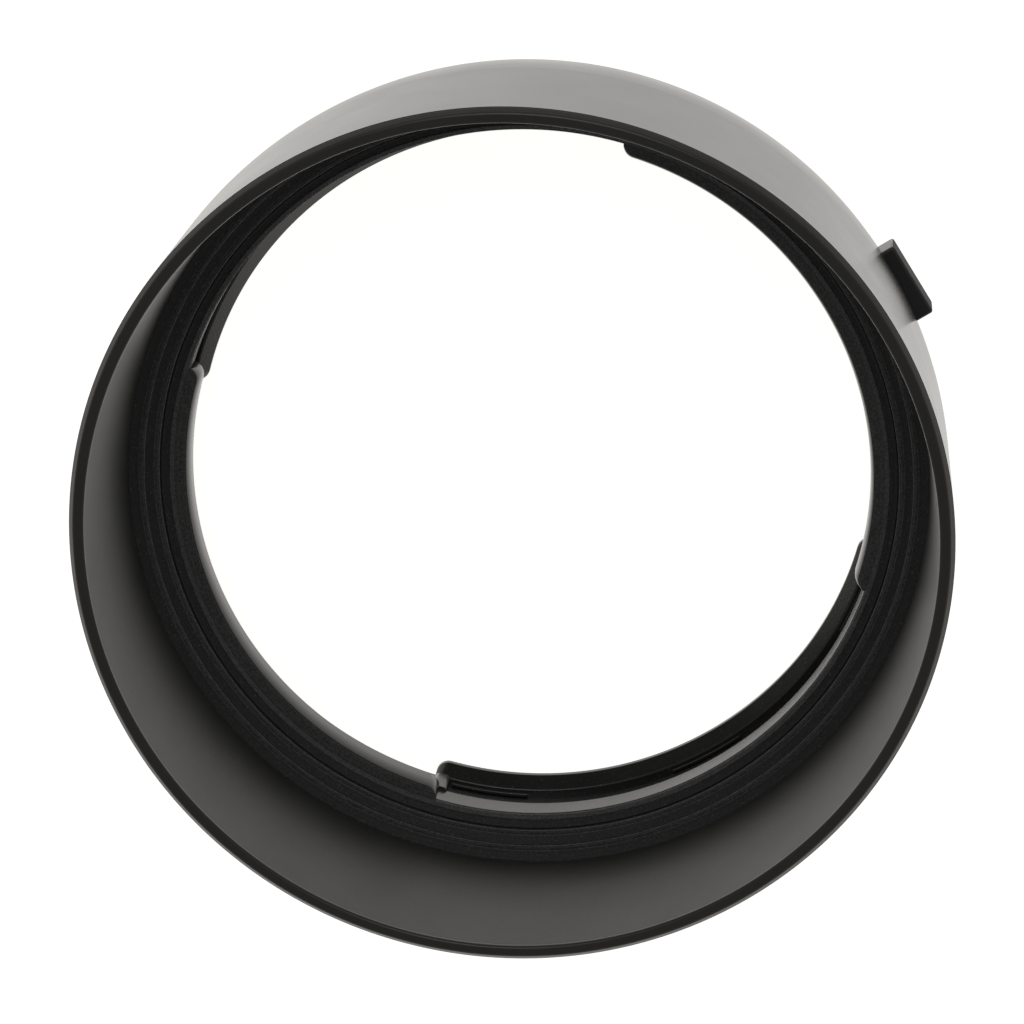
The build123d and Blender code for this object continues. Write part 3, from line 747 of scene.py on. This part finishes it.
for middle in (90, 270):
    lipStart = middle - bayonet["lipHalfAngle"]
    rootRadius = hood["grooveRadius"] + bayonet["sunk"]
    lip = lipSector("lip", lipStart, middle + bayonet["lipHalfAngle"] + bayonet["rearOverlap"],
                    hood["lipRadius"], rootRadius, 0, hood["rearLip"], bayonet["lipCorner"],
                    bayonet["lipEdge"], taper=bayonet["rearTaper"])
    combine(bayonetCollar, lip, "UNION")
    stop = lipSector("stop", lipStart, lipStart + bayonet["stopAngle"],
                     hood["lipRadius"] + bayonet["stopInset"], rootRadius, hood["rearLip"] - bayonet["sunk"],
                     hood["frontLip"] + bayonet["sunk"], bayonet["stopCorner"], bayonet["stopEdge"])
    combine(bayonetCollar, stop, "UNION")
    barObject = newObject("bars", [(0, 0, 0)], [])
    barsSpan = (bars["count"] - 1) / 2 * bars["pitch"]
    firstBar = middle + bayonet["rearOverlap"] / 2 - barsSpan - bars["span"] / 2
    barRadius = hood["grooveRadius"] - bars["inset"] - bars["thickness"] / 2
    runTree(barObject, trees["bars"], {
        "Count": bars["count"], "First angle": radians(firstBar), "Pitch angle": radians(bars["pitch"]),
        "Span": radians(bars["span"]), "Radius": barRadius * unit,
        "Middle height": hood["rearLip"] * unit, "Thickness": bars["thickness"] * unit,
        "Depth": 2 * bars["height"] * unit, "Rounding": bars["rounding"] * unit, "Material": plasticHere})
    combine(bayonetCollar, barObject, "UNION")
for k in range(bayonet["bossCount"]):
    spot = polar(bayonet["bossCircle"], bayonet["firstBoss"] + 360 / bayonet["bossCount"] * k,
                 hood["coverTop"])
    bossHeight = hood["webBottom"] + bayonet["bossSunk"] - hood["coverTop"]
    boss = cylinder("boss", spot, Vector((0, 0, 1)), bayonet["bossRadius"], bossHeight, 32)
    combine(bayonetCollar, boss, "UNION")
window = lipSector("window", toothWindow["angle"] - toothWindow["halfAngle"],
                   toothWindow["angle"] + toothWindow["halfAngle"],
                   hood["grooveRadius"] - toothWindow["inside"], hood["collarOuter"] + toothWindow["outside"],
                   toothWindow["low"], toothWindow["high"], toothWindow["corner"], toothWindow["edge"])
combine(bayonetCollar, window, "DIFFERENCE")
slotBoxFoot = Vector((leverSlot["foot"], leverSlot["shift"], leverSlot["middle"]))
slotBox = roundedPrism("slotBox", leverSlot["length"], leverSlot["width"], leverSlot["depth"],
                       leverSlot["corner"], leverSlot["edge"], slotBoxFoot, Vector((0, 1, 0)),
                       Vector((1, 0, 0)))
combine(bayonetCollar, slotBox, "DIFFERENCE")
bayonetCollar.data.materials.clear()
bayonetCollar.data.materials.append(plasticHere)
# front faces take the baffle finish, with its painted ridge-edge highlights and groove shade
bayonetCollar.data.materials.append(materials["baffleMatt"])
for face in bayonetCollar.data.polygons:
    onTop = face.center.z > (hood["collarTop"] - 0.05) * unit and face.normal.z > -0.1
    face.material_index = 1 if onTop else 0
shadeOver(bayonetCollar)
settle(bayonetCollar, "hood", "bayonet", "bayonet_ring")


# rear cover and its screws

cover = {"spigotHeight": 0.6, "spigotWall": 0.6, "spigotEdge": 0.08, "barrelFit": 0.08, "bore": 39.55,
         "boreEdge": 0.05, "edge": 0.06, "pocketFit": 0.12, "holeFit": 0.05}
screw = {"count": 6, "firstAngle": 45.0, "circle": 41.165, "head": 1.25, "headHeight": 0.75, "headEdge": 0.3,
         "sink": 0.85, "shank": 0.65, "length": 4.6, "recessWidth": 0.32, "recessDepth": 0.35, "seed": 4}
spigotOuter = hood["mechanismOuter"] - cover["barrelFit"]
coverCorners = shoulderCorners(0, hood["coverTop"], 8) + [
    (spigotOuter, hood["coverTop"], 0),
    (spigotOuter, hood["coverTop"] + cover["spigotHeight"], cover["spigotEdge"]),
    (spigotOuter - cover["spigotWall"], hood["coverTop"] + cover["spigotHeight"], cover["spigotEdge"]),
    (spigotOuter - cover["spigotWall"], hood["coverTop"], 0),
    (cover["bore"], hood["coverTop"], cover["boreEdge"]),
    (cover["bore"], 0, cover["edge"]),
]
rearCover = turnedRing("rearCover", coverCorners, materials["coverMatt"])
for k in range(screw["count"]):
    angle = screw["firstAngle"] + 360 / screw["count"] * k
    pocket = cylinder("pocket", polar(screw["circle"], angle, -overrun), Vector((0, 0, 1)),
                      screw["head"] + cover["pocketFit"], screw["sink"] + overrun, 48)
    combine(rearCover, pocket, "DIFFERENCE")
    hole = cylinder("hole", polar(screw["circle"], angle, 0.2), Vector((0, 0, 1)),
                    screw["shank"] + cover["holeFit"], 2.0, 32)
    combine(rearCover, hole, "DIFFERENCE")
shadeOver(rearCover)
settle(rearCover, "hood", "cover", "rear_cover")


def oneScrew():
    # pan head with a softened rim and a cross recess, standing on its shank at the origin
    low = screw["sink"] - screw["headHeight"]
    edge = screw["headEdge"]
    outline = [(0.0, low)]
    for i in range(7):
        turn = radians(90) * i / 6
        outline.append((screw["head"] - edge + edge * sin(turn), low + edge - edge * cos(turn)))
    outline += [(screw["head"], screw["sink"]), (screw["shank"], screw["sink"]),
                (screw["shank"], screw["sink"] + screw["length"]), (0.0, screw["sink"] + screw["length"])]
    steps = 32
    points = []
    faces = []
    for radius, height in outline:
        points += [polar(radius, 360 / steps * i, height) for i in range(steps)]
    for ring in range(len(outline) - 1):
        for i in range(steps):
            a, b = ring * steps + i, ring * steps + (i + 1) % steps
            faces.append((a, b, b + steps, a + steps))
    obj = faceOutwards(newObject("oneScrew", points, faces))
    for along in (Vector((1, 0, 0)), Vector((0, 1, 0))):
        slotCut = roundedPrism("slotCut", 1.3 * screw["head"], screw["recessWidth"],
                               screw["recessDepth"] + overrun, 0.1, 0.08, Vector((0, 0, low - overrun)), along,
                               Vector((0, 0, 1)), 2)
        combine(obj, slotCut, "DIFFERENCE")
    return obj


def screwTree():
    # copies of one screw around a circle, each turned its own way
    tree, given = startTree("screws", [
        ("Screw", "Object"), ("Count", "Int"), ("First angle", "Float"), ("Radius", "Float"), ("Seed", "Int"),
        ("Material", "Material")])
    sizes = given.outputs
    line = addNode(tree, "GeometryNodeMeshLine", {"Count": sizes["Count"], "Offset": (0, 0, 0)})
    index = addNode(tree, "GeometryNodeInputIndex").outputs[0]
    pitch = mathNode(tree, "DIVIDE", 2 * pi, sizes["Count"])
    angle = mathNode(tree, "ADD", sizes["First angle"], mathNode(tree, "MULTIPLY", index, pitch))
    x = mathNode(tree, "MULTIPLY", mathNode(tree, "COSINE", angle), sizes["Radius"])
    y = mathNode(tree, "MULTIPLY", mathNode(tree, "SINE", angle), sizes["Radius"])
    spot = addNode(tree, "ShaderNodeCombineXYZ", {"X": x, "Y": y})
    placed = addNode(tree, "GeometryNodeSetPosition",
                     {"Geometry": line.outputs[0], "Position": spot.outputs[0]})
    spin = addNode(tree, "FunctionNodeRandomValue", {"Seed": sizes["Seed"]}, data_type="FLOAT")
    turn = addNode(tree, "ShaderNodeCombineXYZ", {"Z": mathNode(tree, "MULTIPLY", spin.outputs[1], pi)})
    copied = addNode(tree, "GeometryNodeObjectInfo", {"Object": sizes["Screw"]}, transform_space="ORIGINAL")
    inputs = {"Points": placed.outputs[0], "Instance": copied.outputs["Geometry"], "Rotation": turn.outputs[0]}
    copies = addNode(tree, "GeometryNodeInstanceOnPoints", inputs)
    endTree(tree, copies.outputs[0], sizes["Material"])
    return tree


trees["screws"] = screwTree()
screwModel = oneScrew()
coverScrews = newObject("coverScrews", [(0, 0, 0)], [])
runTree(coverScrews, trees["screws"], {
    "Screw": screwModel, "Count": screw["count"], "First angle": radians(screw["firstAngle"]),
    "Radius": screw["circle"] * unit, "Seed": screw["seed"], "Material": materials["screwSteel"]})
bpy.data.objects.remove(screwModel)
shadeOver(coverScrews)
settle(coverScrews, "hood", "screw", "cover_screws")


# CAD pieces that stay as they are

kept = {"lock_lever": "leverPlastic", "return_spring": "springSteel", "lever_pivot_pin": "pinSteel"}
for node, finish in kept.items():
    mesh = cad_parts[node].data
    mesh.materials.clear()
    mesh.materials.append(materials[finish])


# stage, light and camera

stage = {"floorSize": 6.0, "floorDrop": 0.00005, "floorGlow": (0.95, 0.93, 0.90), "floorColour": 0.6,
         "worldColour": (1.0, 0.99, 0.98), "wallGlow": 0.36, "ceilingGlow": 0.24, "wallTop": 0.55,
         "ceilingStart": 0.85}
floorMesh = bpy.data.meshes.new("floor")
half = stage["floorSize"] / 2
floorCorners = [(x * half, y * half, -stage["floorDrop"]) for x, y in ((-1, -1), (1, -1), (1, 1), (-1, 1))]
floorMesh.from_pydata(floorCorners, [], [(0, 1, 2, 3)])
floor = bpy.data.objects.new("floor", floorMesh)
bpy.context.scene.collection.objects.link(floor)
floorPaint = bpy.data.materials.new("floorPaint")
floorPaint.use_nodes = True
floorShader = floorPaint.node_tree.nodes["Principled BSDF"]
floorShader.inputs["Base Color"].default_value = (*[stage["floorColour"]] * 3, 1)
floorShader.inputs["Roughness"].default_value = 1.0
floorShader.inputs["Specular IOR Level"].default_value = 0.0
floorShader.inputs["Emission Color"].default_value = (*stage["floorGlow"], 1)
floorShader.inputs["Emission Strength"].default_value = 1.0
floorMesh.materials.append(floorPaint)

world = bpy.data.worlds.new("softRoom")
world.use_nodes = True
room = world.node_tree
direction = addNode(room, "ShaderNodeTexCoord").outputs["Generated"]
upwards = addNode(room, "ShaderNodeSeparateXYZ", {0: direction}).outputs["Z"]
# pale walls all round and a darker ceiling
inputs = {"Value": upwards, "From Min": stage["wallTop"], "From Max": stage["ceilingStart"]}
fade = addNode(room, "ShaderNodeMapRange", inputs, interpolation_type="SMOOTHSTEP")
fade.inputs["To Min"].default_value = stage["wallGlow"]
fade.inputs["To Max"].default_value = stage["ceilingGlow"]
background = room.nodes["Background"]
background.inputs["Color"].default_value = (*stage["worldColour"], 1)
room.links.new(fade.outputs[0], background.inputs["Strength"])
bpy.context.scene.world = world

softBoxes = [
    {"name": "keyBox", "place": (0.18, 0.35, 0.80), "size": 0.3, "power": 0.7},
]
for box in softBoxes:
    data = bpy.data.lights.new(box["name"], "AREA")
    data.size = box["size"]
    data.energy = box["power"]
    lamp = bpy.data.objects.new(box["name"], data)
    lamp.location = box["place"]
    lamp.rotation_euler = (-Vector(box["place"])).to_track_quat("-Z", "Y").to_euler()
    bpy.context.scene.collection.objects.link(lamp)

view = {"place": (0.08461791, 0.08787809, 0.41930818), "right": (0.87580094, -0.47552111, -0.08277916),
        "up": (0.43717832, 0.85418589, -0.28149882), "back": (0.20456743, 0.21034768, 0.95598432),
        "lens": 140.625, "sensor": 36.0, "nearest": 0.01}
cameraData = bpy.data.cameras.new("camera")
cameraData.lens = view["lens"]
cameraData.sensor_width = view["sensor"]
cameraData.clip_start = view["nearest"]
camera = bpy.data.objects.new("camera", cameraData)
turn = Matrix((view["right"], view["up"], view["back"])).transposed().to_4x4()
camera.matrix_world = Matrix.Translation(view["place"]) @ turn
bpy.context.scene.collection.objects.link(camera)
bpy.context.scene.camera = camera
bpy.context.scene.view_settings.view_transform = "Standard"
print("stage, light and camera done")
